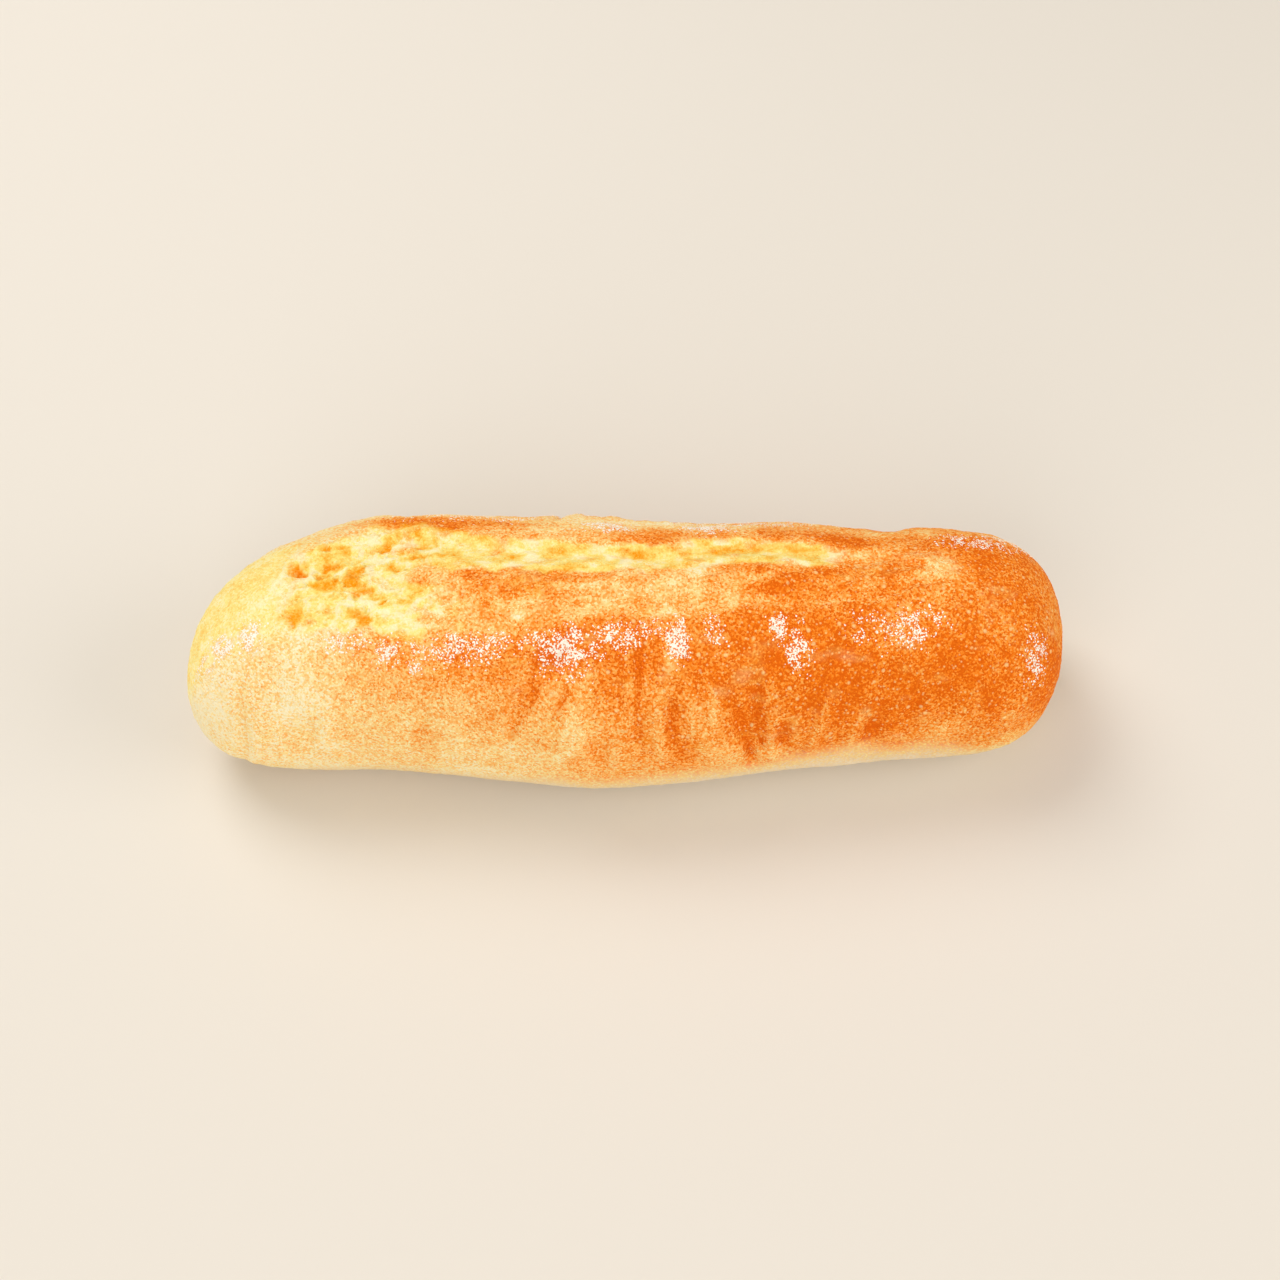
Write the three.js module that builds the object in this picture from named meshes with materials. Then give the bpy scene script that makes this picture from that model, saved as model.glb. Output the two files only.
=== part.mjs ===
/*
 * A short baguette, baked as one piece: a soft-sided loaf with a flat underside and one long score
 * that has burst open along its crown.
 *
 * Millimetres. +X runs along the loaf, +Y to its back and +Z up. The loaf rests on z = 0, and the
 * origin is the middle of its underside.
 */
import * as THREE from 'three';
import { mergeVertices } from 'three/addons/utils/BufferGeometryUtils.js';

// The loaf as a whole.
const LENGTH = 220;
const CROWN_HEIGHT = 53;
const CROWN_FALL = 0.025; // the crown drops by this much per millimetre towards +X
const WAIST_HEIGHT = 21; // the sides are widest here
const TIP_HEIGHT = 20; // both ends close at this height
const SETTLE = 2.5; // the round of the dough that the baking stone pressed flat

// How square the cross-section is: 2 is an ellipse, and more is boxier.
const SHOULDER_SQUARENESS = 2.15;
const FOOT_SQUARENESS = 2.6;

// The plan outline. Each side is a half width, swollen at a few places, and it closes on the tips.
const FRONT_HALF_WIDTH = 26.4;
const FRONT_SWELLS = [
  { x: 2, rise: 7.6, spread: 50 },
  { x: -10, rise: 1, spread: 14 },
  { x: -62, rise: -0.8, spread: 12 },
];
const BACK_HALF_WIDTH = 28.5;
const BACK_SWELLS = [
  { x: -30, rise: 6, spread: 55 },
  { x: -62, rise: 3, spread: 18 },
  { x: -8, rise: 1, spread: 9 },
  { x: 42, rise: 2, spread: 12 },
];

// How the ends close: how far from the tip each side starts to draw in, and how blunt that end is.
const LEFT_END = {
  tipOffset: -8,
  front: { reach: 25, bluntness: 2.5 },
  back: { reach: 50, bluntness: 1.9 },
  height: { reach: 45, bluntness: 2.2 },
};
const RIGHT_END = {
  tipOffset: 6,
  front: { reach: 28, bluntness: 2.3 },
  back: { reach: 38, bluntness: 2.9 },
  height: { reach: 34, bluntness: 2.3 },
};

// The burst score: raised lips with a furrow under the back lip, and a crater near the left end.
const SCORE_FROM = -86;
const SCORE_TO = 88;
const SCORE_FADE = 16;
const FRONT_LIP = { y: -14, rise: 1.2, spread: 4 };
const BACK_LIP = { y: 17, rise: 1.2, spread: 4 };
const BACK_LIP_CREST = { x: -54, rise: 1.8, spread: 20 };
const FURROW = { y: 10, rise: -3, spread: 4.5 };
const CRATER = { x: -60, y: 2, depth: 3.5, length: 22, width: 9 };

// Mesh density: ribs run along the loaf, and rings go round it.
const RIBS = 56;
const RINGS = 66;
const RING_CROWDING = 0.4; // 0 spaces the rings evenly, and more crowds them towards the tips

const CRUST_COLOUR = 0xf0a04f;

const HALF_LENGTH = LENGTH / 2;

/** A smooth swelling around a centre, which is positive for a bulge and negative for a hollow. */
function swell(distance, { rise, spread }) {
  return rise * Math.exp(-((distance / spread) ** 2));
}

/** A side's half width at a station, before the ends close. */
function sideHalfWidth(x, halfWidth, swells) {
  return swells.reduce((total, one) => total + swell(x - one.x, one), halfWidth);
}

/** 1 along the loaf, falling to 0 at the tip. */
function closing(x, { reach, bluntness }) {
  const past = THREE.MathUtils.clamp((Math.abs(x) - HALF_LENGTH + reach) / reach, 0, 1);
  return (1 - past ** bluntness) ** (1 / bluntness);
}

/** The cosine or sine of a section's angle, drawn towards the corners of a squarer curve. */
function squared(value, squareness) {
  return Math.sign(value) * Math.abs(value) ** (2 / squareness);
}

/** How much of the score's relief shows at a station: 1 in the middle, 0 past both of its ends. */
function scoreStrength(x) {
  const { smoothstep } = THREE.MathUtils;
  const opening = smoothstep(x, SCORE_FROM, SCORE_FROM + SCORE_FADE);
  const healing = smoothstep(x, SCORE_TO - SCORE_FADE, SCORE_TO);
  return opening * (1 - healing);
}

/** Height that the burst score adds to the crown, or takes from it. */
function scoreRelief(x, y) {
  const crest = 1 + swell(x - BACK_LIP_CREST.x, BACK_LIP_CREST);
  const ridges = swell(y - FRONT_LIP.y, FRONT_LIP) + crest * swell(y - BACK_LIP.y, BACK_LIP);
  const furrow = swell(y - FURROW.y, FURROW);
  const craterReach = Math.hypot((x - CRATER.x) / CRATER.length, (y - CRATER.y) / CRATER.width);
  const crater = -CRATER.depth * Math.exp(-(craterReach ** 2));
  return scoreStrength(x) * (ridges + furrow + crater);
}

/**
 * A point of the crust.
 * station: -1 at the left tip to 1 at the right tip.
 * angle: round the loaf, from the back (0) over the crown (a quarter turn) to the front.
 */
function crustPoint(station, angle) {
  const x = HALF_LENGTH * ((1 + RING_CROWDING) * station - RING_CROWDING * station ** 3);
  const end = x < 0 ? LEFT_END : RIGHT_END;
  const isBack = Math.cos(angle) > 0;
  const isUpper = Math.sin(angle) > 0;
  const squareness = isUpper ? SHOULDER_SQUARENESS : FOOT_SQUARENESS;

  const centre = end.tipOffset * (1 - closing(x, end.height));
  const back = sideHalfWidth(x, BACK_HALF_WIDTH, BACK_SWELLS) - centre;
  const front = sideHalfWidth(x, FRONT_HALF_WIDTH, FRONT_SWELLS) + centre;
  const reach = isBack ? back * closing(x, end.back) : front * closing(x, end.front);
  const y = centre + reach * squared(Math.cos(angle), squareness);

  const rise = isUpper ? CROWN_HEIGHT - CROWN_FALL * x - WAIST_HEIGHT : WAIST_HEIGHT + SETTLE;
  const plumpZ = WAIST_HEIGHT + rise * squared(Math.sin(angle), squareness);
  const relief = isUpper ? scoreRelief(x, y) * Math.sin(angle) : 0;
  const z = TIP_HEIGHT + (plumpZ + relief - TIP_HEIGHT) * closing(x, end.height);
  return new THREE.Vector3(x, y, Math.max(z, 0));
}

/** The loaf's closed skin, centred over the origin. */
function loafGeometry() {
  const geometry = new THREE.SphereGeometry(1, RIBS, RINGS);
  const { position, uv } = geometry.attributes;
  for (let i = 0; i < position.count; i += 1) {
    const station = 2 * uv.getY(i) - 1;
    const angle = 2 * Math.PI * uv.getX(i) - Math.PI / 2;
    const point = crustPoint(station, angle);
    position.setXYZ(i, point.x, point.y, point.z);
  }
  geometry.deleteAttribute('uv');
  geometry.deleteAttribute('normal');
  const skin = mergeVertices(geometry);
  skin.computeBoundingBox();
  const middle = skin.boundingBox.getCenter(new THREE.Vector3());
  skin.translate(-middle.x, -middle.y, 0);
  skin.computeVertexNormals();
  return skin;
}

function crustMaterial() {
  return new THREE.MeshStandardMaterial({ color: CRUST_COLOUR, roughness: 0.85, metalness: 0 });
}

const loaf = new THREE.Mesh(loafGeometry(), crustMaterial());
loaf.name = 'loaf';

const baguette = new THREE.Group();
baguette.add(loaf);

export default baguette;
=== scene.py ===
"""The looks of a short baguette: a matte, blistered crust, a burst score with open crumb, and flour.

The loaf is worked in millimetres, like dough on a bench, and its meshes are in metres. +X runs along
it towards the blunt, darker end, +Y to its back and +Z up. "Across" is the distance over the crust
from the crown line, positive towards the back.
"""

import itertools
import logging
import math
from collections.abc import Iterable
from dataclasses import dataclass, field
from enum import Enum

import bpy
import numpy as np
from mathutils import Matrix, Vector


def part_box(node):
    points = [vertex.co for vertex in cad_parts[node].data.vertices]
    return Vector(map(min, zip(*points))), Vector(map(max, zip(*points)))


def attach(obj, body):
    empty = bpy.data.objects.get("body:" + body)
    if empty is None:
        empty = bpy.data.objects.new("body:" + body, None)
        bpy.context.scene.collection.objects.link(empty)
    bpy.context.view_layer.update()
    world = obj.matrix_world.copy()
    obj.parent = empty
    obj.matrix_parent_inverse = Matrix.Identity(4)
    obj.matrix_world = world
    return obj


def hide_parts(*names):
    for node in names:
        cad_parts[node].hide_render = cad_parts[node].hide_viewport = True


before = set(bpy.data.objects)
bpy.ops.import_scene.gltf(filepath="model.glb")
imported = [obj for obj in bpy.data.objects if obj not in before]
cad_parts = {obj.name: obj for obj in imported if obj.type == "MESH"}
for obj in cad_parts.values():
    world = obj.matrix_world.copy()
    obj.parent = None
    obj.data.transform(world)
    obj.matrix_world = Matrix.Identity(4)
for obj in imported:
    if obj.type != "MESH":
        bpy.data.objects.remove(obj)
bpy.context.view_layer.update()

MM = 0.001
NODE = "loaf"
BODY = "root"

log = logging.getLogger("baguette")

Knots = tuple[tuple[float, float], ...]
Size = tuple[float, ...] | float
Span = tuple[float, float]
Stops = tuple[tuple[float, str], ...]


class Mask(Enum):
    """The named values that the loaf's mesh carries for its finish."""

    BROWNING = "browning_and_shade"
    CRUMB = "crumb"
    CRUMB_TONE = "crumb_tone"
    FLOUR = "flour"
    FOOT = "foot"


# ---------------------------------------------------------------- shaping helpers


def ease(value: np.ndarray, start: float, end: float) -> np.ndarray:
    """Rises smoothly from 0 at start to 1 at end."""
    share = np.clip((value - start) / (end - start), 0.0, 1.0)
    return share * share * (3.0 - 2.0 * share)


def window(value: np.ndarray, low: float, high: float, fade: float) -> np.ndarray:
    """1 between low and high, falling smoothly to 0 over fade outside them."""
    return ease(value, low - fade, low) * (1.0 - ease(value, high, high + fade))


def crest(value: np.ndarray, at: float, spread: float) -> np.ndarray:
    """A bell curve that is 1 at its place and fades over its spread."""
    return np.exp(-(((value - at) / spread) ** 2))


def through(value: np.ndarray, knots: Knots) -> np.ndarray:
    """A curve that is level at each of its knots.

    Args:
        value: where the curve is read.
        knots: pairs of place and height, in rising order of place.

    Returns:
        The heights, held level before the first knot and past the last.
    """
    height = np.full_like(value, knots[0][1])
    for (start, low), (end, high) in itertools.pairwise(knots):
        height = height + (high - low) * ease(value, start, end)
    return height


def noise(places: np.ndarray, size: Size, seed: int) -> np.ndarray:
    """Smooth random unevenness.

    Args:
        places: points, with the coordinates last.
        size: how big its lumps are, in the places' own unit, for each coordinate.
        seed: which unevenness.

    Returns:
        A value from -1 to 1 for each point.
    """
    grain = 48
    lattice = np.random.default_rng(seed).uniform(-1.0, 1.0, (grain,) * 3)
    scaled = places / np.asarray(size) + 0.37 * seed
    cell = np.floor(scaled).astype(int)
    part = scaled - cell
    part = part * part * (3.0 - 2.0 * part)
    total = np.zeros(places.shape[:-1])
    for corner in itertools.product((0, 1), repeat=3):
        weight = np.prod(np.where(corner, part, 1.0 - part), axis=-1)
        i, j, k = np.moveaxis((cell + corner) % grain, -1, 0)
        total += weight * lattice[i, j, k]
    return total


def layered(places: np.ndarray, size: Size, seed: int, layers: int = 3) -> np.ndarray:
    """Noise with finer noise on it, each layer half the size and half the strength."""
    sizes = np.asarray(size, dtype=float)
    return sum(0.5**n * noise(places, sizes * 0.5**n, seed + n) for n in range(layers))


@dataclass(frozen=True)
class Spot:
    """An oval place on the crust, in millimetres.

    Its strength is a depth for a bubble, a change of tone for a tint and a density for flour. Its
    slant is how far it climbs across for each millimetre along.
    """

    x: float
    across: float
    half_x: float
    half_across: float
    strength: float
    slant: float = 0.0

    def away(self, places: np.ndarray) -> np.ndarray:
        """The distance from its middle, which is 1 at its edge."""
        along = places[..., 0] - self.x
        over = places[..., 1] - self.across - self.slant * along
        return np.hypot(along / self.half_x, over / self.half_across)


@dataclass(frozen=True)
class Scatter:
    """A random draw of spots: how many, and the least and the most of each of their measures.

    Half is a half width in millimetres, and stretch is how many times longer a spot is along the loaf
    than across it.
    """

    count: int
    half: Span
    stretch: Span
    strength: Span
    seed: int


def soft_sum(spots: Iterable[Spot], places: np.ndarray) -> np.ndarray:
    """The strength of all the spots together, each fading smoothly from its middle."""
    return sum(spot.strength * np.exp(-(spot.away(places) ** 2)) for spot in spots)


@dataclass(frozen=True)
class Swell:
    """A smooth rise, or a hollow where rise is negative, around one place along the loaf."""

    at: float
    rise: float
    spread: float

    def __call__(self, x: np.ndarray) -> np.ndarray:
        """Its height at x."""
        return self.rise * crest(x, self.at, self.spread)


@dataclass(frozen=True)
class Closing:
    """How one side of the loaf draws in to a tip."""

    reach: float
    bluntness: float

    def __call__(self, x: np.ndarray, half_length: float) -> np.ndarray:
        """1 along the loaf, falling to 0 at the tip."""
        past = np.clip((np.abs(x) - half_length + self.reach) / self.reach, 0.0, 1.0)
        return np.maximum(0.0, 1.0 - past**self.bluntness) ** (1.0 / self.bluntness)


@dataclass(frozen=True)
class LoafEnd:
    """One end of the loaf: how far its tip lies off the middle line, and how it closes."""

    tip_offset: float
    front: Closing
    back: Closing
    height: Closing


# ---------------------------------------------------------------- the dough


@dataclass
class LoafForm:
    """The plain loaf before its score: its sizes, and the grid of points over its crust."""

    half_length: float
    crown_height: float = 53.0
    crown_fall: float = 0.025
    waist_height: float = 21.0
    tip_height: float = 20.0
    settle: float = 2.5
    shoulder_squareness: float = 2.15
    foot_squareness: float = 2.6
    front_half_width: float = 26.4
    back_half_width: float = 28.5
    front_swells: tuple[Swell, ...] = (Swell(2, 7.6, 50), Swell(-10, 1, 14), Swell(-62, -0.8, 12))
    back_swells: tuple[Swell, ...] = (
        Swell(-30, 6, 55), Swell(-62, 3, 18), Swell(-8, 1, 9), Swell(42, 2, 12),
    )
    left: LoafEnd = LoafEnd(-8, Closing(25, 2.5), Closing(50, 1.9), Closing(45, 2.2))
    right: LoafEnd = LoafEnd(6, Closing(28, 2.3), Closing(38, 2.9), Closing(34, 2.3))
    ring_crowding: float = 0.4
    crown_crowding: float = 0.62

    def points(self, station: np.ndarray, turn: np.ndarray) -> np.ndarray:
        """The plain crust.

        Args:
            station: -1 at the left tip to 1 at the right tip.
            turn: the angle from the crown, positive towards the front, in radians.

        Returns:
            The points, in millimetres, centred across the box.
        """
        x = self.half_length * ((1 + self.ring_crowding) * station - self.ring_crowding * station**3)
        angle = math.pi / 2 + turn - self.crown_crowding * np.sin(turn)
        cosine, sine = np.cos(angle), np.sin(angle)
        is_left, is_back, is_upper = x < 0, cosine > 0, sine > 0

        def at_end(part: str) -> np.ndarray:
            """The closing of one side, taken from the nearer end."""
            left, right = getattr(self.left, part), getattr(self.right, part)
            return np.where(is_left, left(x, self.half_length), right(x, self.half_length))

        height = at_end("height")
        tip = np.where(is_left, self.left.tip_offset, self.right.tip_offset)
        centre = tip * (1 - height)
        back = self.back_half_width + sum(swell(x) for swell in self.back_swells) - centre
        front = self.front_half_width + sum(swell(x) for swell in self.front_swells) + centre
        reach = np.where(is_back, back * at_end("back"), front * at_end("front"))
        power = 2 / np.where(is_upper, self.shoulder_squareness, self.foot_squareness)
        y = centre + reach * np.sign(cosine) * np.abs(cosine) ** power
        crown = self.crown_height - self.crown_fall * x - self.waist_height
        rise = np.where(is_upper, crown, self.waist_height + self.settle)
        plump = self.waist_height + rise * np.sign(sine) * np.abs(sine) ** power
        z = self.tip_height + (plump - self.tip_height) * height
        y = y - (y.min() + y.max()) / 2
        return np.stack([x, y, np.maximum(z, 0.0)], axis=-1)


class Dough:
    """The loaf's skin while it is shaped: rings of points along it, with the crown in column 0."""

    def __init__(self, form: LoafForm, rings: int, segments: int) -> None:
        """Lays out the plain form.

        Args:
            form: the plain loaf.
            rings: steps from tip to tip.
            segments: steps round the loaf.
        """
        self.rings, self.segments = rings, segments
        station = 2.0 * np.arange(rings + 1) / rings - 1.0
        turn = 2.0 * math.pi * np.arange(segments) / segments
        turn = np.where(turn > math.pi, turn - 2.0 * math.pi, turn)
        self.points = form.points(*np.meshgrid(station, turn, indexing="ij"))
        self.plain = self.points.copy()
        self.x = self.plain[..., 0]
        self.z = self.plain[..., 2]
        self.across = self._across()
        self.map = np.stack([self.x, self.across, np.zeros_like(self.x)], axis=-1)
        self.outward = self._normals()

    def _across(self) -> np.ndarray:
        """The distance over the crust from the crown line, negative towards the front."""
        steps = np.linalg.norm(np.roll(self.points, -1, axis=1) - self.points, axis=2)
        half = self.segments // 2
        across = np.zeros(steps.shape)
        across[:, 1 : half + 1] = -np.cumsum(steps[:, :half], axis=1)
        behind = np.cumsum(steps[:, :half:-1], axis=1)
        across[:, half + 1 :] = behind[:, ::-1]
        return across

    def _normals(self) -> np.ndarray:
        """The outward direction at each point of the plain loaf."""
        along = np.gradient(self.points, axis=0)
        around = np.roll(self.points, -1, axis=1) - np.roll(self.points, 1, axis=1)
        normal = np.cross(around, along)
        normal /= np.linalg.norm(normal, axis=2, keepdims=True) + 1e-9
        normal[0], normal[-1] = (-1, 0, 0), (1, 0, 0)
        return normal

    def push(self, height: np.ndarray) -> None:
        """Moves the skin out by height, along the plain loaf's directions."""
        self.drag(self.outward * height[..., None])

    def drag(self, offset: np.ndarray) -> None:
        """Moves the skin by an offset, closes the poles and keeps the underside on its plane."""
        self.points = self.points + offset
        for end in (0, -1):
            self.points[end] = self.points[end].mean(axis=0)
        self.points[..., 2] = np.maximum(self.points[..., 2], 0.0)

    def scatter(self, where: np.ndarray, kind: Scatter) -> list[Spot]:
        """Spots at random places on the skin.

        Args:
            where: which of its points they may centre on.
            kind: how many, and what they are like.

        Returns:
            The spots, more of them small than large.
        """
        smallest, largest = kind.half
        draw = np.random.default_rng(kind.seed)
        rows = np.argwhere(where)
        spots = []
        for row, column in rows[draw.integers(len(rows), size=kind.count)]:
            size = smallest + (largest - smallest) * draw.random() ** 1.5
            longer = draw.uniform(*kind.stretch) ** 0.5
            x, across = self.x[row, column], self.across[row, column]
            spots.append(Spot(x, across, size * longer, size / longer, draw.uniform(*kind.strength)))
        return spots

    def depth_for_painted_shade(self, passes: int) -> np.ndarray:
        """How far each point lies below the skin round it, for the painted shade of its hollows.

        Args:
            passes: how many times the heights are averaged with their neighbours.

        Returns:
            The depth in millimetres, negative on a ridge.
        """
        height = np.sum((self.points - self.plain) * self.outward, axis=2)
        level = height
        for _ in range(passes):
            rows = np.pad(level, ((1, 1), (0, 0)), mode="edge")
            level = (level + rows[2:] + rows[:-2] + np.roll(level, 1, 1) + np.roll(level, -1, 1)) / 5
        return level - height


# ---------------------------------------------------------------- the score


@dataclass
class Burst:
    """What the burst left over the crust, at each of the dough's points.

    The share runs from 0 at the front lip to 1 at the back lip, and the others from 0 to 1.
    """

    share: np.ndarray
    inside: np.ndarray
    reach: np.ndarray
    crumb: np.ndarray
    streaks: np.ndarray
    walls: np.ndarray
    pits: np.ndarray


@dataclass
class BurstScore:
    """The long score that burst open along the crown, from lip to lip."""

    front_lip: Knots = ((-88, -5), (-76, -14), (-45, -16), (0, -12), (50, -9), (84, -2))
    back_lip: Knots = (
        (-88, -3), (-76, 10), (-56, 18), (-30, 15), (8, 11), (28, 14), (60, 9), (84, 2),
    )
    left_end: float = -78.0
    right_end: float = 74.0
    # Height over the plain crust against the share of the way from the front lip to the back lip.
    middle_profile: Knots = (
        (-0.4, 0), (0, 0.3), (0.12, -0.3), (0.4, 0.8), (0.6, 0.3), (0.84, -1.4), (1.03, 0.8), (1.5, 0),
    )
    crater_profile: Knots = (
        (-0.3, 0), (0, 0.2), (0.2, -0.9), (0.45, -1.4), (0.78, -1.6), (1.04, 1.1), (1.4, 0),
    )
    right_profile: Knots = (
        (-0.6, 0), (0, 0.25), (0.2, -0.15), (0.55, 0.4), (0.84, -0.5), (1.02, 0.3), (1.6, 0),
    )
    large_bubbles: Scatter = Scatter(20, (0.9, 3.8), (0.5, 1.6), (0.7, 1.7), 71)
    # Threads of crumb that still stand between the bubbles, and blisters on the torn dough.
    threads: Scatter = Scatter(14, (0.9, 1.5), (0.15, 0.4), (0.6, 0.9), 72)
    blisters: Scatter = Scatter(7, (0.9, 1.8), (0.8, 1.5), (1.1, 1.3), 73)
    small_bubbles: int = 150
    largest_in_crater: float = 1.2
    largest_elsewhere: float = 0.6
    ear_lean: float = 0.9
    seed: int = 11

    def open(self, dough: Dough) -> Burst:
        """Bursts the dough open.

        Args:
            dough: the loaf, whose crown is pushed and dragged.

        Returns:
            Where the burst lies, and what shows in it.
        """
        x = dough.x
        share = self._share(dough)
        reach = window(x, self.left_end, self.right_end, 10)
        torn_x = x + 5.5 * layered(dough.map, (7.0, 5.0, 1.0), self.seed + 50)
        crater = window(torn_x, self.left_end, -54, 15)
        right = ease(x, 44, 62)
        inside = window(share, 0.14, 0.94, 0.17) * reach
        streaks = self._streaks(dough)
        walls = self._walls(dough)
        open_crumb = crater * window(share, 0.1, 0.96, 0.14)

        relief = through(share, self.middle_profile) * (1 - crater) * (1 - right)
        relief += through(share, self.crater_profile) * crater
        relief += through(share, self.right_profile) * right
        relief += inside * (0.3 * streaks + 0.35 * layered(dough.map, 3.4, self.seed + 7))
        relief += open_crumb * (0.55 * walls - 0.2)
        dough.push(relief * reach * window(dough.across, -30, 34, 4))

        ear = crest(share, 1.0, 0.1) * reach * (1 - 0.6 * right)
        dough.drag(np.stack([np.zeros_like(x), -self.ear_lean * ear, 0.15 * ear], axis=-1))

        crevice = window(share, 0.62, 0.94, 0.1) * window(x, -50, 40, 18)
        crumb = np.maximum(open_crumb, crevice) * reach
        frayed = crumb + 0.6 * layered(dough.map, (4.4, 2.6, 1.0), self.seed + 30)
        crumb = 0.92 * ease(frayed, 0.1, 0.95) * window(crumb, 0.03, 1.1, 0.05)
        pits = self._sink_bubbles(dough, crumb, inside)
        return Burst(share, inside, reach, crumb, streaks, walls * open_crumb, pits)

    def _share(self, dough: Dough) -> np.ndarray:
        """How far each point lies from the torn front lip to the torn back lip."""
        ragged = 1.2 * noise(dough.map, 7.5, self.seed) + 0.9 * noise(dough.map, 2.4, self.seed + 1)
        torn = 1.3 * noise(dough.map, (6.0, 9.0, 1.0), self.seed + 2)
        torn += 0.9 * noise(dough.map, 2.2, self.seed + 5)
        front = through(dough.x, self.front_lip) + ragged
        back = through(dough.x, self.back_lip) + torn * window(dough.x, -60, 70, 12)
        return (dough.across - front) / np.maximum(back - front, 2.5)

    def _walls(self, dough: Dough) -> np.ndarray:
        """Thin walls of dough between opened bubbles, from 0 in a bubble to 1 on a wall."""
        bend = [noise(dough.map, 4.0, self.seed + 40 + axis) for axis in range(3)]
        bent = dough.map + 1.6 * np.stack(bend, axis=-1)
        wide = crest(noise(bent, (4.6, 3.6, 1.0), self.seed + 44), 0.0, 0.2)
        fine = crest(noise(bent, (2.4, 2.0, 1.0), self.seed + 45), 0.0, 0.22)
        return np.maximum(wide, 0.6 * fine)

    def _streaks(self, dough: Dough) -> np.ndarray:
        """Ridges that the dough drew out as it tore, slanting back along the loaf."""
        slanted = dough.map.copy()
        slanted[..., 1] -= 0.2 * dough.x
        wide = noise(slanted, (12.0, 1.7, 1.0), self.seed + 3)
        return wide + 0.7 * noise(slanted, (6.0, 0.9, 1.0), self.seed + 4)

    def _sink_bubbles(self, dough: Dough, crumb: np.ndarray, inside: np.ndarray) -> np.ndarray:
        """Sinks the bubbles where crumb shows, and returns how deep each point lies in one."""
        draw = np.random.default_rng(self.seed)
        rows = np.argwhere(crumb > 0.55)
        open_end = (crumb > 0.55) & (dough.x < -45)
        torn = (inside > 0.6) & (dough.x > -30)
        spots = dough.scatter(open_end, self.large_bubbles)
        raised = dough.scatter(open_end, self.threads) + dough.scatter(torn, self.blisters)
        for row, column in rows[draw.integers(len(rows), size=self.small_bubbles)]:
            x, across = dough.x[row, column], dough.across[row, column]
            largest = self.largest_in_crater if x < -45 else self.largest_elsewhere
            half = 0.4 + largest * draw.random() ** 2.2
            stretch = draw.uniform(0.7, 1.3)
            spots.append(Spot(x, across, half / stretch, half * stretch, 0.15 + 0.25 * half))
        bend = [layered(dough.map, 2.8, self.seed + 21 + axis, 2) for axis in range(3)]
        bent = dough.map + 1.3 * np.stack(bend, axis=-1)
        pit = np.zeros_like(dough.x)
        rim = np.zeros_like(dough.x)
        for spot in spots:
            away = spot.away(bent)
            pit = np.maximum(pit, spot.strength * np.clip(1 - away**2, 0, 1) ** 0.8)
            rim = np.maximum(rim, crest(away, 1.15, 0.22) * min(1.0, spot.half_x))
        thread = soft_sum(raised, bent)
        dough.push(0.2 * rim * (pit < 0.05) - 0.8 * pit * (1 - 0.7 * thread) + 0.35 * thread)
        return np.clip(pit / 1.2 - 1.1 * thread, -0.7, 1)


# ---------------------------------------------------------------- the skin


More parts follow.
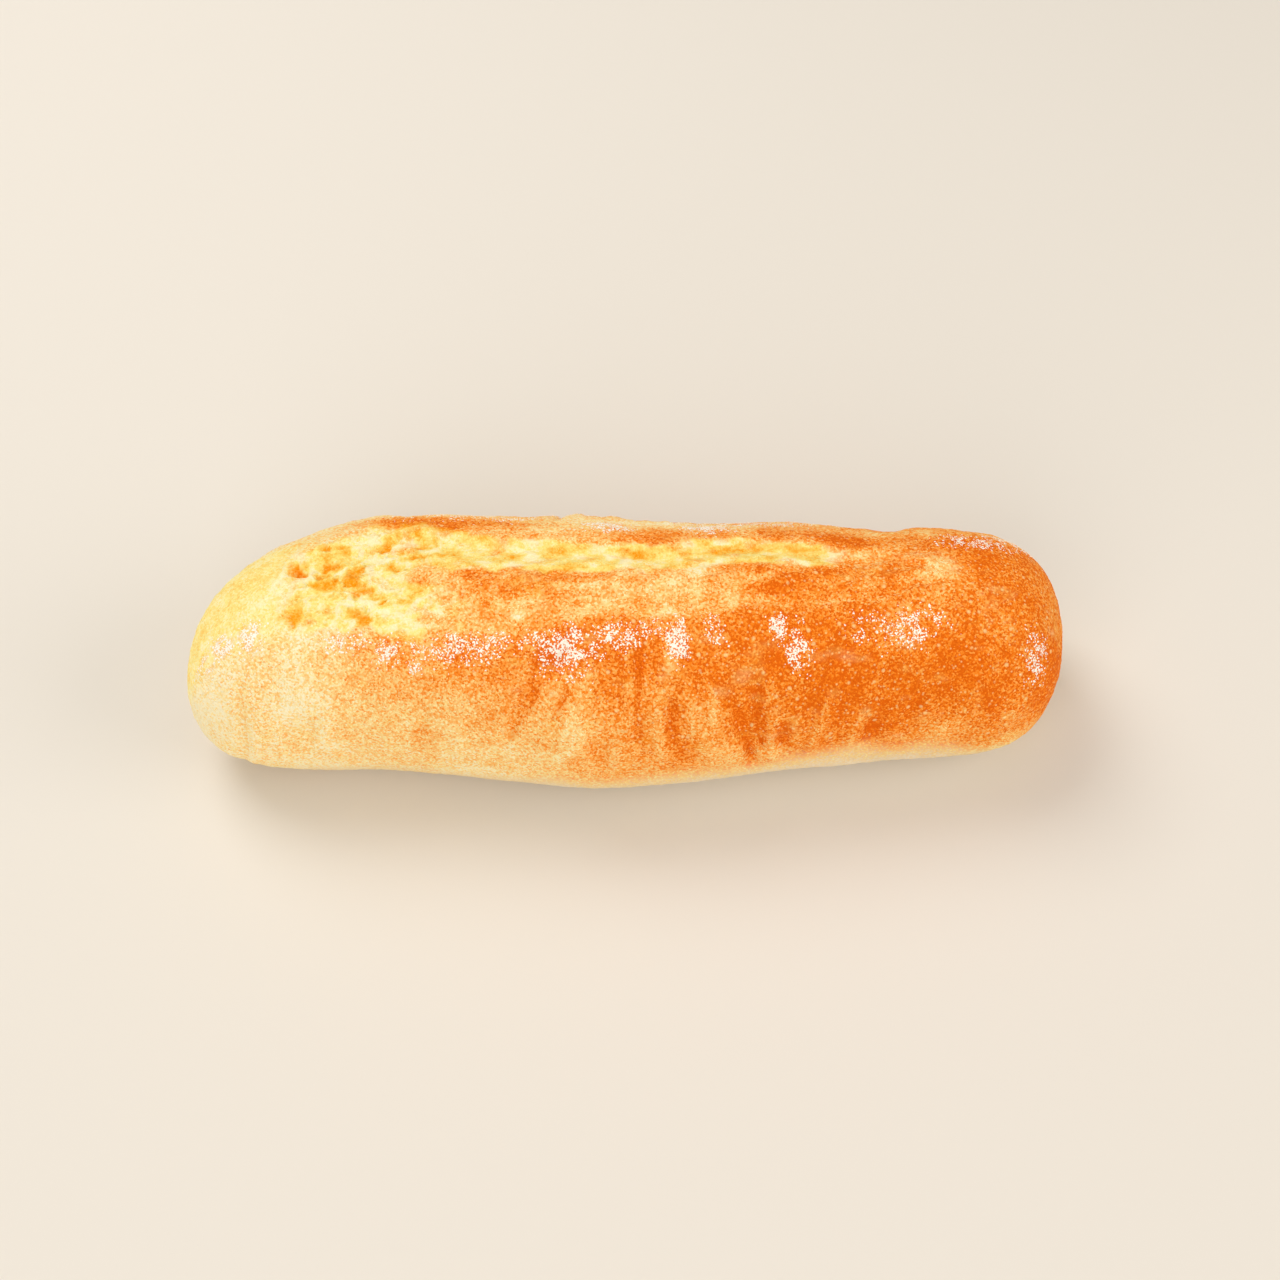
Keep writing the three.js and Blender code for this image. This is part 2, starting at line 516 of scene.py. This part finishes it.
@dataclass
class CrustSkin:
    """The unevenness of the baked skin, and where it browned."""

    seed: int = 40
    fold_slant: Knots = ((-60, 0.1), (-25, 0.35), (5, 0.0), (22, -0.25), (45, 0.25), (85, 0.4))
    dents: Scatter = Scatter(3, (0.9, 1.8), (0.5, 1.4), (0.7, 0.9), 100)
    along_knots: Knots = (
        (-112, 0.06), (-85, 0.2), (-58, 0.42), (-25, 0.56), (14, 0.74), (50, 0.84), (110, 0.86),
    )
    side_knots: Knots = ((0, 0.3), (10, 0.52), (20, 0.8), (32, 0.97), (50, 1.0))
    # Broad changes of tone: darker where positive, and paler where negative.
    tints: tuple[Spot, ...] = (
        Spot(-52, 21, 14, 4, 0.6), Spot(-30, 20, 17, 3, 0.34), Spot(8, 22, 24, 4.4, -0.44),
        Spot(-60, -2, 6, 6, -0.3), Spot(-42, -8, 8, 5, -0.12), Spot(-16, 8, 6, 3, -0.2),
        Spot(-20, -2, 14, 4, 0.18), Spot(36, 0, 12, 5, 0.26), Spot(54, 7, 12, 2.2, -0.24),
        Spot(76, 3, 7, 6, -0.22), Spot(66, 17, 16, 3.2, -0.14), Spot(-12, -20, 11, 3.6, 0.18),
        Spot(-30, -46, 22, 8, -0.12), Spot(46, -44, 26, 8, 0.08), Spot(-102, -22, 14, 10, -0.08),
    )
    # Small ones in the burst: toasted ridges, and torn crumb and drawn-out dough.
    toasted: Scatter = Scatter(18, (1.2, 3.4), (1.0, 4.0), (0.12, 0.35), 101)
    drawn_out: Scatter = Scatter(18, (1.0, 2.8), (1.0, 5.0), (-0.35, -0.12), 102)

    def shape(self, dough: Dough) -> np.ndarray:
        """Gives the skin the lumps and folds of shaped dough.

        Args:
            dough: the plain loaf.

        Returns:
            The folds down its sides, which also colour the crust: paler on their ridges and darker in their
            valleys, partly uneven toasting and partly painted shade.
        """
        lumps = 0.55 * noise(dough.plain, 26.0, self.seed) + 0.3 * noise(dough.plain, 11.0, self.seed + 1)
        folded = dough.map.copy()
        folded[..., 0] -= through(dough.x, self.fold_slant) * (dough.across + 32)
        folded[..., 0] += 2.0 * noise(dough.map, 15.0, self.seed + 5)
        wavy = noise(folded, (4.6, 24.0, 1.0), self.seed + 2)
        wavy += 0.35 * noise(folded, (2.4, 11.0, 1.0), self.seed + 3)
        folds = 0.6 * ease(wavy, 0.0, 0.8) - ease(-wavy, 0.08, 0.6)
        front = window(dough.across, -47, -23, 9) * (0.3 + 0.7 * window(dough.x, -14, 64, 16))
        behind = 0.45 * window(dough.across, 26, 50, 9)
        folds = folds * (front + behind)
        low_front = window(dough.across, -45, -39, 0.5) * window(dough.x, -40, 50, 0.5) > 0.5
        dents = soft_sum(dough.scatter(low_front, self.dents), dough.map)
        dough.push(ease(dough.z, 2.0, 9.0) * (lumps + 1.7 * folds) - dents)
        return folds

    def finish(self, dough: Dough, folds: np.ndarray, burst: Burst) -> dict[Mask, np.ndarray]:
        """Browns the crust and the crumb, and paints shade into their hollows, folds and bubble pits.

        Args:
            dough: the shaped loaf.
            folds: the folds down its sides.
            burst: where it burst open.

        Returns:
            The tone of crust and crumb with their painted shade, and how much crumb shows, from 0 to 1.
        """
        bent = dough.map + 0.7 * noise(dough.map, 2.6, self.seed + 30)[..., None]
        burst_open = burst.inside > 0.5
        small = dough.scatter(burst_open, self.toasted) + dough.scatter(burst_open, self.drawn_out)
        tint = soft_sum((*self.tints, *small), bent)
        # Painted shade: crust and crumb are darker where the skin lies below its surroundings, and paler on
        # ridges.
        depth_for_painted_shade = np.clip(dough.depth_for_painted_shade(passes=40), -1.0, 1.0)
        brown_and_shade = self._crust_tone(dough, folds, burst)
        inner = 0.55 + 0.13 * burst.streaks + 0.22 * ease(dough.x, 25, 66)
        inner += 0.15 * layered(dough.plain, 3.6, self.seed + 15) - 0.05 * crest(burst.share, 0.08, 0.1)
        brown_and_shade = brown_and_shade * (1 - burst.inside) + inner * burst.inside
        brown_and_shade += tint + 0.16 * depth_for_painted_shade

        yellow_end = 0.8 * (1 - ease(dough.x, -86, -70)) * window(dough.across, -9, 13, 8)
        yellow_end *= ease(dough.z, 12, 36)
        mottles = layered(dough.plain, (3.8, 2.4, 2.4), self.seed + 17)
        # Painted shade in the open crumb: deeper bubble pits take a deeper orange for their shade and the
        # glow of light through the dough, and the walls between them a paler tone as painted light.
        tone = 0.4 + 0.42 * mottles * (1 - 0.6 * yellow_end) + 0.18 * burst.streaks * burst.inside
        tone += 0.5 * burst.pits - 0.2 * burst.walls + 0.25 * depth_for_painted_shade + 0.9 * tint - 0.1 * yellow_end
        crumb = np.maximum(burst.crumb, yellow_end)
        return {
            Mask.BROWNING: np.clip(brown_and_shade, 0.0, 1.0),
            Mask.CRUMB: crumb,
            Mask.CRUMB_TONE: np.clip(tone, 0.0, 1.0),
        }

    def _crust_tone(self, dough: Dough, folds: np.ndarray, burst: Burst) -> np.ndarray:
        """How far the unbroken crust has toasted: more to the right and above, and by the lips, with painted
        shade in the valleys of the folds.
        """
        x, across = dough.x, dough.across
        # Paler in a band behind the back lip: in part a painted highlight, for light grazing the crust there.
        side = through(dough.z, self.side_knots) * (1 - 0.4 * window(across, 19, 36, 7))
        brown_and_shade = through(x, self.along_knots) * side
        # Paler on the ridges of the folds and darker in their valleys: partly uneven toasting, partly painted
        # shade.
        brown_and_shade += 0.12 * crest(np.abs(across), 22, 11) * ease(x, -85, -45) - 0.13 * folds
        brown_and_shade += 0.12 * layered(dough.plain, 13.0, self.seed + 9)
        brown_and_shade += 0.07 * noise(dough.plain, 3.4, self.seed + 12)
        front_lip = crest(burst.share, -0.14, 0.2) * window(x, -66, 60, 10)
        return brown_and_shade + 0.07 * front_lip * burst.reach


@dataclass
class FlourDusting:
    """Bench flour: where it lies, and the grains that stand proud of the crust."""

    patches: tuple[Spot, ...] = (
        Spot(-67, -16.8, 4.6, 2.4, 0.6), Spot(-57, -18.6, 2.6, 3.4, 0.5),
        Spot(-50.5, -19.6, 1.8, 3.6, 0.7), Spot(-41, -18.4, 8.0, 3.4, 0.62),
        Spot(-32.5, -17.4, 4.0, 2.8, 0.62), Spot(-22, -17.4, 3.4, 3.0, 0.8),
        Spot(-14, -19.4, 6.4, 5.2, 1.1), Spot(-3, -16.0, 5.4, 3.2, 0.7), Spot(6, -14.6, 4.0, 2.6, 0.6),
        Spot(11, -16.6, 3.0, 4.2, 1.0, -0.8), Spot(19.5, -14.8, 2.2, 3.4, 0.6, -0.8),
        Spot(36.4, -13.6, 2.8, 3.2, 1.05), Spot(40, -18, 2.6, 5.4, 0.85, -0.8),
        Spot(56, -13.6, 5, 3.4, 0.45), Spot(67, -13.4, 8.0, 4.4, 0.6), Spot(98, -19, 3.0, 6.0, 0.5),
        Spot(-90, -12.4, 2.8, 3.6, 1.3), Spot(-99, -10.6, 4.8, 3.0, 1.05), Spot(86, 13, 9.0, 3.0, 0.7),
        Spot(97, 17, 7.0, 4.0, 0.7), Spot(21, 18.6, 6.0, 3.0, 0.95), Spot(-5, 18.2, 6.0, 2.8, 0.8),
        Spot(-40, 26, 16.0, 4.0, 0.45), Spot(30, 26, 18.0, 4.6, 0.5), Spot(-8, 33, 12.0, 4.0, 0.4),
    )
    grains: int = 2600
    smallest: float = 0.09
    largest: float = 0.19
    seed: int = 77

    def density(self, dough: Dough, inside: np.ndarray) -> np.ndarray:
        """How thickly flour lies at each point, from 0 to 1."""
        frayed = dough.map + 1.6 * noise(dough.map, 3.4, self.seed)[..., None]
        lying = np.zeros_like(dough.x)
        for spot in self.patches:
            lying = np.maximum(lying, spot.strength * np.exp(-(spot.away(frayed) ** 3)))
        clumps = 0.6 + 0.8 * noise(dough.map, 1.7, self.seed + 1) + 0.4 * noise(dough.map, 3.6, self.seed + 2)
        return np.clip(lying * clumps * (1 - 0.8 * inside), 0, 1)


# ---------------------------------------------------------------- finishes


def linear(colour: str) -> tuple[float, float, float, float]:
    """Turns an sRGB hex colour to the linear values that a shader takes."""
    parts = [int(colour[i : i + 2], 16) / 255 for i in (0, 2, 4)]
    return (*(c / 12.92 if c <= 0.04045 else ((c + 0.055) / 1.055) ** 2.4 for c in parts), 1.0)


def new_material(name: str) -> tuple[bpy.types.Material, bpy.types.ShaderNodeTree]:
    """A new material with its node tree, which holds a Principled BSDF and its output."""
    material = bpy.data.materials.new(name)
    material.use_nodes = True
    return material, material.node_tree


def add(
    tree: bpy.types.ShaderNodeTree, kind: str, links: dict | None = None, **settings: object
) -> bpy.types.Node:
    """Adds a node.

    Args:
        tree: the material's node tree.
        kind: the node's type, without the ShaderNode prefix.
        links: socket name or number to the output that feeds it, or to a value.
        settings: the node's own properties.

    Returns:
        The new node.
    """
    node = tree.nodes.new("ShaderNode" + kind)
    for name, value in settings.items():
        setattr(node, name, value)
    for socket, source in (links or {}).items():
        if isinstance(source, bpy.types.NodeSocket):
            tree.links.new(source, node.inputs[socket])
        else:
            node.inputs[socket].default_value = source
    return node


def lay_ramp(node: bpy.types.Node, stops: Stops) -> bpy.types.NodeSocket:
    """Lays hex colours along a colour ramp node, and returns its colour output."""
    elements = node.color_ramp.elements
    elements.remove(elements[-1])
    elements[0].position = stops[0][0]
    elements[0].color = linear(stops[0][1])
    for position, colour in stops[1:]:
        elements.new(position).color = linear(colour)
    return node.outputs["Color"]


@dataclass(frozen=True)
class BakedCrust:
    """Baked wheat crust, steamed and dry-finished: matte, speckled with fine blisters and pores."""

    crust_stops: Stops = (
        (0.0, "fcefc8"), (0.2, "fde4a0"), (0.42, "fdc979"),
        (0.62, "fca64c"), (0.82, "f8841c"), (1.0, "e4660a"),
    )
    crumb_stops: Stops = (
        (0.0, "fff4c2"), (0.35, "fde98a"), (0.65, "fcce5e"), (1.0, "fca010"),
    )
    blister: str = "ffdc98"
    foot: str = "f5e6cc"
    foot_bare: str = "f2cd90"
    flour: str = "fffaec"
    singed: str = "ec7440"
    roughness: float = 0.72
    specular: float = 0.04
    grain_mm: float = 0.75
    speck_mm: float = 0.44
    blotch_mm: float = 7.0
    fine_blister_mm: float = 1.15
    blister_mm: float = 3.2
    flour_mm: float = 0.38
    bump_mm: float = 0.6

    def build(self) -> bpy.types.Material:
        """Builds the crust's material from its masks."""
        material, tree = new_material("baked_wheat_crust")
        shader = tree.nodes["Principled BSDF"]
        place = add(tree, "TexCoord").outputs["Object"]
        masks = {mask: add(tree, "Attribute", attribute_name=mask.value).outputs["Fac"] for mask in Mask}

        # A dry crust is speckled like sandpaper: each fleck browns a little more or less.
        flecks = add(tree, "TexVoronoi", {"Vector": place, "Scale": 1 / (self.speck_mm * MM)})
        fleck = add(tree, "SeparateColor", {"Color": flecks.outputs["Color"]}).outputs["Red"]
        grain = add(tree, "TexNoise", {"Vector": place, "Scale": 1 / (self.grain_mm * MM), "Detail": 2.0})
        coarse = add(tree, "Math", {0: grain.outputs["Fac"], 1: 0.5, 2: -0.25}, operation="MULTIPLY_ADD")
        speckle = add(tree, "Math", {0: fleck, 1: 0.5, 2: coarse.outputs[0]}, operation="MULTIPLY_ADD")
        speckle = add(tree, "Math", {0: speckle.outputs[0], 1: 0.25}, operation="SUBTRACT").outputs[0]
        blotches = {"Vector": place, "Scale": 1 / (self.blotch_mm * MM), "Detail": 3.0, "Roughness": 0.65}
        blotch = add(tree, "TexNoise", blotches)
        blotchy = add(tree, "Math", {0: blotch.outputs["Fac"], 1: 0.24, 2: -0.12}, operation="MULTIPLY_ADD")
        uneven = add(tree, "Math", {0: speckle, 1: blotchy.outputs[0]}, operation="ADD").outputs[0]
        # The mask added here also holds painted shade in the crust's hollows and folds.
        browned_and_shaded = add(tree, "Math", {0: masks[Mask.BROWNING], 1: uneven}, operation="ADD").outputs[0]
        crust = lay_ramp(add(tree, "ValToRGB", {"Fac": browned_and_shaded}), self.crust_stops)

        # Blisters rise as pale dots all over a steamed crust: many fine ones and a few larger.
        risen = []
        for size, chosen, wide, narrow, strength in (
            (self.fine_blister_mm, 0.5, 0.32, 0.14, 0.55),
            (self.blister_mm, 0.45, 0.2, 0.1, 0.65),
        ):
            cells = add(tree, "TexVoronoi", {"Vector": place, "Scale": 1 / (size * MM)})
            chance = add(tree, "SeparateColor", {"Color": cells.outputs["Color"]}).outputs["Green"]
            picked = add(tree, "Math", {0: chance, 1: chosen}, operation="GREATER_THAN").outputs[0]
            nearness = {"From Min": wide, "From Max": narrow, "To Max": strength}
            dot = add(tree, "MapRange", {"Value": cells.outputs["Distance"], **nearness}).outputs[0]
            risen.append(add(tree, "Math", {0: dot, 1: picked}, operation="MULTIPLY").outputs[0])
        dots = add(tree, "Math", dict(enumerate(risen)), operation="MAXIMUM").outputs[0]
        dotted = add(tree, "Mix", {0: dots, 6: crust, 7: linear(self.blister)}, data_type="RGBA").outputs[2]

        # Open crumb is pale on its walls, and glows orange where light comes through deep dough.
        toned = add(tree, "Math", {0: uneven, 1: 0.6, 2: masks[Mask.CRUMB_TONE]}, operation="MULTIPLY_ADD")
        crumb = lay_ramp(add(tree, "ValToRGB", {"Fac": toned.outputs[0]}), self.crumb_stops)
        baked = add(tree, "Mix", {0: masks[Mask.CRUMB], 6: dotted, 7: crumb}, data_type="RGBA").outputs[2]

        # The foot never saw the oven's heat from the side: it stays cream coloured and floury.
        broken = add(tree, "Math", {0: uneven, 1: 3.6, 2: 1.3}, operation="MULTIPLY_ADD").outputs[0]
        footing = {0: broken, 1: masks[Mask.FOOT]}
        pale = add(tree, "Math", footing, operation="MULTIPLY", use_clamp=True).outputs[0]
        lowest = {"Value": masks[Mask.FOOT], "From Min": 0.5, "From Max": 1.1}
        low = add(tree, "MapRange", lowest).outputs[0]
        patchy = {0: uneven, 1: 2.0, 2: low}
        dust = add(tree, "Math", patchy, operation="MULTIPLY_ADD", use_clamp=True).outputs[0]
        dusty = {0: dust, 6: linear(self.foot_bare), 7: linear(self.foot)}
        foot = add(tree, "Mix", dusty, data_type="RGBA").outputs[2]
        footed = add(tree, "Mix", {0: pale, 6: baked, 7: foot}, data_type="RGBA").outputs[2]

        # Flour lies in single specks, more of them where it is dense, on crust that singed pink.
        pink = add(tree, "Math", {0: masks[Mask.FLOUR], 1: 0.45}, operation="MULTIPLY").outputs[0]
        under = add(tree, "Mix", {0: pink, 6: footed, 7: linear(self.singed)}, data_type="RGBA").outputs[2]
        grains = add(tree, "TexVoronoi", {"Vector": place, "Scale": 1 / (self.flour_mm * MM)})
        chance = add(tree, "SeparateColor", {"Color": grains.outputs["Color"]}).outputs["Blue"]
        cover = add(tree, "Math", {0: masks[Mask.FLOUR], 1: 0.72}, operation="MULTIPLY").outputs[0]
        speck = add(tree, "Math", {0: chance, 1: cover}, operation="LESS_THAN").outputs[0]
        floured = add(tree, "Mix", {0: speck, 6: under, 7: linear(self.flour)}, data_type="RGBA").outputs[2]
        tree.links.new(floured, shader.inputs["Base Color"])

        shader.inputs["Roughness"].default_value = self.roughness
        shader.inputs["Specular IOR Level"].default_value = self.specular
        pebbles = {0: flecks.outputs["Distance"], 1: -0.35}
        pebbled = add(tree, "Math", pebbles, operation="MULTIPLY").outputs[0]
        blistered = add(tree, "Math", {0: dots, 1: 0.3, 2: pebbled}, operation="MULTIPLY_ADD").outputs[0]
        raised = {0: grain.outputs["Fac"], 1: 0.8, 2: blistered}
        height = add(tree, "Math", raised, operation="MULTIPLY_ADD").outputs[0]
        bump = add(tree, "Bump", {"Height": height, "Strength": 0.8, "Distance": self.bump_mm * MM})
        tree.links.new(bump.outputs["Normal"], shader.inputs["Normal"])
        return material


@dataclass(frozen=True)
class WheatFlour:
    """White wheat flour in small clumps: chalky, dead matte and nearly white."""

    colour: str = "fff5e2"
    shade: str = "f4e2c4"
    clump_mm: float = 0.8
    roughness: float = 0.95
    specular: float = 0.1

    def build(self) -> bpy.types.Material:
        """Builds the flour's material."""
        material, tree = new_material("wheat_flour")
        shader = tree.nodes["Principled BSDF"]
        place = add(tree, "TexCoord").outputs["Object"]
        tone = add(tree, "TexNoise", {"Vector": place, "Scale": 1 / (self.clump_mm * MM)}).outputs["Fac"]
        shades = {0: tone, 6: linear(self.shade), 7: linear(self.colour)}
        mixed = add(tree, "Mix", shades, data_type="RGBA").outputs[2]
        tree.links.new(mixed, shader.inputs["Base Color"])
        shader.inputs["Roughness"].default_value = self.roughness
        shader.inputs["Specular IOR Level"].default_value = self.specular
        return material


# ---------------------------------------------------------------- the pieces


def deselect() -> None:
    """Leaves nothing selected, so that an operator acts only on what comes next."""
    if bpy.context.object and bpy.context.object.mode != "OBJECT":
        bpy.ops.object.mode_set(mode="OBJECT")
    bpy.ops.object.select_all(action="DESELECT")


def select_only(piece: bpy.types.Object) -> None:
    """Makes one piece the selected and active one."""
    deselect()
    piece.select_set(True)
    bpy.context.view_layer.objects.active = piece


def put_in_frame(piece: bpy.types.Object, finish: bpy.types.Material) -> None:
    """Dresses a finished piece, hangs it on the body it rides on and hides the CAD part."""
    piece.data.materials.clear()
    piece.data.materials.append(finish)
    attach(piece, BODY)
    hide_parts(NODE)


@dataclass
class Loaf:
    """The baked loaf: its crust, its burst score and the flour left on it."""

    rings: int = 410
    segments: int = 236
    score: BurstScore = field(default_factory=BurstScore)
    skin: CrustSkin = field(default_factory=CrustSkin)
    dusting: FlourDusting = field(default_factory=FlourDusting)
    foot_knots: Knots = ((-110, 6), (-60, 9), (-15, 13.5), (35, 16.5), (72, 15.5), (98, 6))
    roughness: tuple[tuple[str, float, float], ...] = (("pebbled", 2.6, 0.34), ("sandy", 1.15, 0.24))
    seed: int = 61

    def build(self) -> bpy.types.Object:
        """Shapes, roughens and dresses the loaf.

        Returns:
            The piece, with its masks as attributes.
        """
        low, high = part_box(NODE)
        dough = Dough(LoafForm(half_length=(high.x - low.x) / 2 / MM), self.rings, self.segments)
        folds = self.skin.shape(dough)
        burst = self.score.open(dough)
        masks = self.skin.finish(dough, folds, burst)
        masks[Mask.FLOUR] = self.dusting.density(dough, burst.inside)
        edge = through(dough.x, self.foot_knots) + 2.0 * layered(dough.plain, 12.0, self.seed)
        masks[Mask.FOOT] = 1 - ease(dough.z - edge, -9.0, 6.0)
        masks[Mask.BROWNING] *= 1 - 0.5 * masks[Mask.FOOT]
        piece = self._cover(dough, masks)
        self._roughen(piece)
        put_in_frame(piece, BakedCrust().build())
        return piece

    def _cover(self, dough: Dough, masks: dict[Mask, np.ndarray]) -> bpy.types.Object:
        """Lays a sphere's mesh over the shaped dough.

        Args:
            dough: the shaped loaf.
            masks: the finish's values at each of its points.

        Returns:
            The piece, with its masks as attributes.
        """
        deselect()
        bpy.ops.mesh.primitive_uv_sphere_add(segments=self.segments, ring_count=self.rings, radius=1.0)
        piece = bpy.context.object
        piece.name = "baguette_loaf"
        mesh = piece.data
        ball = np.zeros(len(mesh.vertices) * 3)
        mesh.vertices.foreach_get("co", ball)
        ball = ball.reshape(-1, 3)
        ring = np.rint(np.arccos(np.clip(-ball[:, 2], -1, 1)) / math.pi * self.rings).astype(int)
        turn = np.arctan2(ball[:, 1], ball[:, 0])
        column = np.rint(turn / (2 * math.pi) * self.segments).astype(int) % self.segments
        mesh.vertices.foreach_set("co", (dough.points[ring, column] * MM).ravel())
        for mask, values in masks.items():
            attribute = mesh.attributes.new(mask.value, "FLOAT", "POINT")
            attribute.data.foreach_set("value", values[ring, column].astype(np.float32))
        mesh.update()
        bpy.ops.object.mode_set(mode="EDIT")
        bpy.ops.mesh.select_all(action="SELECT")
        bpy.ops.mesh.normals_make_consistent(inside=False)
        bpy.ops.object.mode_set(mode="OBJECT")
        bpy.ops.object.shade_smooth()
        return piece

    def _roughen(self, piece: bpy.types.Object) -> None:
        """Gives the whole skin above the foot its fine baked roughness."""
        group = piece.vertex_groups.new(name="rough")
        for vertex in piece.data.vertices:
            group.add([vertex.index], min(1.0, max(0.0, vertex.co.z / (6 * MM))), "REPLACE")
        for name, size, strength in self.roughness:
            texture = bpy.data.textures.new(name, "CLOUDS")
            texture.noise_scale = size * MM
            texture.noise_depth = 1
            modifier = piece.modifiers.new(name, "DISPLACE")
            modifier.texture = texture
            modifier.texture_coords = "LOCAL"
            modifier.vertex_group = group.name
            modifier.strength = strength * MM
            modifier.mid_level = 0.5
            select_only(piece)
            bpy.ops.object.modifier_apply(modifier=name)


@dataclass
class FlourGrains:
    """The clumps of flour that stand proud of the crust."""

    dusting: FlourDusting

    def build(self, loaf: bpy.types.Object) -> bpy.types.Object:
        """Scatters small clumps over the loaf where flour lies.

        Args:
            loaf: the finished loaf, whose flour mask says how thickly.

        Returns:
            The piece of all clumps together.
        """
        corners, sides = self._clump_shape()
        draw = np.random.default_rng(self.dusting.seed)
        vertices, faces = [], []
        for place, normal in zip(*self._places(loaf)):
            spread = self.dusting.largest - self.dusting.smallest
            size = (self.dusting.smallest + spread * draw.random() ** 1.6) * MM
            squash = draw.uniform(0.7, 1.25, 3)
            faces.append(sides + len(vertices) * len(corners))
            vertices.append(place + corners * squash * size + normal * 0.35 * size)
        mesh = bpy.data.meshes.new("flour_grains")
        mesh.from_pydata(np.concatenate(vertices).tolist(), [], np.concatenate(faces).tolist())
        mesh.update()
        piece = bpy.data.objects.new("flour_grains", mesh)
        bpy.context.scene.collection.objects.link(piece)
        select_only(piece)
        bpy.ops.object.shade_smooth()
        put_in_frame(piece, WheatFlour().build())
        return piece

    @staticmethod
    def _clump_shape() -> tuple[np.ndarray, np.ndarray]:
        """One clump: the corners and faces of a small ball, modelled once and copied."""
        deselect()
        bpy.ops.mesh.primitive_ico_sphere_add(subdivisions=1, radius=1.0)
        ball = bpy.context.object
        corners = np.array([vertex.co for vertex in ball.data.vertices])
        sides = np.array([list(polygon.vertices) for polygon in ball.data.polygons])
        bpy.data.objects.remove(ball)
        return corners, sides

    def _places(self, loaf: bpy.types.Object) -> tuple[np.ndarray, np.ndarray]:
        """Random points on the loaf, crowded where its flour mask is high, with their normals."""
        mesh = loaf.data
        count = len(mesh.polygons)
        flour = np.zeros(len(mesh.vertices), np.float32)
        mesh.attributes[Mask.FLOUR.value].data.foreach_get("value", flour)
        area, centre, normal = np.zeros(count), np.zeros(count * 3), np.zeros(count * 3)
        mesh.polygons.foreach_get("area", area)
        mesh.polygons.foreach_get("center", centre)
        mesh.polygons.foreach_get("normal", normal)
        # Blender lists a new sphere's faces in another order on each run, so the draw is made from them
        # in the order of their corners.
        faces = [sorted(polygon.vertices) for polygon in mesh.polygons]
        order = np.array(sorted(range(count), key=faces.__getitem__))
        lowest = np.array([face[0] for face in faces])
        weight = (area * flour[lowest])[order]
        draw = np.random.default_rng(self.dusting.seed + 5)
        picks = order[draw.choice(count, size=self.dusting.grains, p=weight / weight.sum())]
        jitter = draw.uniform(-0.2, 0.2, (self.dusting.grains, 3)) * MM
        normals = normal.reshape(-1, 3)[picks]
        jitter -= normals * np.sum(jitter * normals, axis=1, keepdims=True)
        return centre.reshape(-1, 3)[picks] + jitter, normals


# ---------------------------------------------------------------- the studio


@dataclass(frozen=True)
class SoftLight:
    """One square soft light that faces the loaf: its place and size in metres, and its power in watts."""

    name: str
    place: tuple[float, float, float]
    size: float
    power: float

    def build(self) -> None:
        """Hangs the light."""
        data = bpy.data.lights.new(self.name, "AREA")
        data.size = self.size
        data.energy = self.power
        light = bpy.data.objects.new(self.name, data)
        bpy.context.scene.collection.objects.link(light)
        light.location = self.place
        light.rotation_euler = (-Vector(self.place)).to_track_quat("-Z", "Y").to_euler()


@dataclass
class Studio:
    """A pale floor, soft light and the camera."""

    elevation: float = 55.0
    azimuth: float = -1.5
    distance: float = 448 * MM
    target: Vector = field(default_factory=lambda: Vector((2.9, 0.4, 25.0)) * MM)
    lens: float = 50.0
    sensor_width: float = 36.0
    floor_colour: str = "e2dbd0"
    sky_colour: str = "fff8ee"
    sky_strength: float = 0.45
    lights: tuple[SoftLight, ...] = (
        SoftLight("key", (-0.45, 0.5, 0.9), 0.6, 6.0),
        SoftLight("front", (-0.35, -0.95, 0.6), 0.9, 5.8),
        SoftLight("right", (0.95, -0.25, 0.55), 0.8, 4.8),
    )

    def build(self) -> None:
        """Sets up the whole studio."""
        self._floor()
        self._camera()
        for light in self.lights:
            light.build()
        world = bpy.data.worlds.new("sky")
        world.use_nodes = True
        sky = world.node_tree.nodes["Background"]
        sky.inputs["Color"].default_value = linear(self.sky_colour)
        sky.inputs["Strength"].default_value = self.sky_strength
        bpy.context.scene.world = world
        bpy.context.scene.view_settings.view_transform = "Standard"

    def _floor(self) -> None:
        """A plain pale floor."""
        deselect()
        bpy.ops.mesh.primitive_plane_add(size=6.0, location=(0, 0, 0))
        floor = bpy.context.object
        floor.name = "studio_floor"
        material, tree = new_material("studio_floor_paint")
        shader = tree.nodes["Principled BSDF"]
        shader.inputs["Base Color"].default_value = linear(self.floor_colour)
        shader.inputs["Roughness"].default_value = 0.9
        floor.data.materials.append(material)

    def _camera(self) -> None:
        """The camera, looking down on the loaf from the front."""
        data = bpy.data.cameras.new("camera")
        data.lens = self.lens
        data.sensor_width = self.sensor_width
        data.clip_start = 0.01
        data.clip_end = 20.0
        camera = bpy.data.objects.new("camera", data)
        bpy.context.scene.collection.objects.link(camera)
        turn, lift = math.radians(self.azimuth), math.radians(self.elevation)
        back = Vector((math.sin(turn) * math.cos(lift), -math.cos(turn) * math.cos(lift), math.sin(lift)))
        camera.location = self.target + back * self.distance
        camera.rotation_euler = (-back).to_track_quat("-Z", "Y").to_euler()
        bpy.context.scene.camera = camera


def main() -> None:
    """Builds the studio and the pieces in order."""
    logging.basicConfig(level=logging.INFO, format="%(message)s")
    Studio().build()
    loaf = Loaf()
    crust = loaf.build()
    grains = FlourGrains(loaf.dusting).build(crust)
    for piece in (crust, grains):
        log.info("%s: %d faces", piece.name, len(piece.data.polygons))


if __name__ == "__main__":
    main()
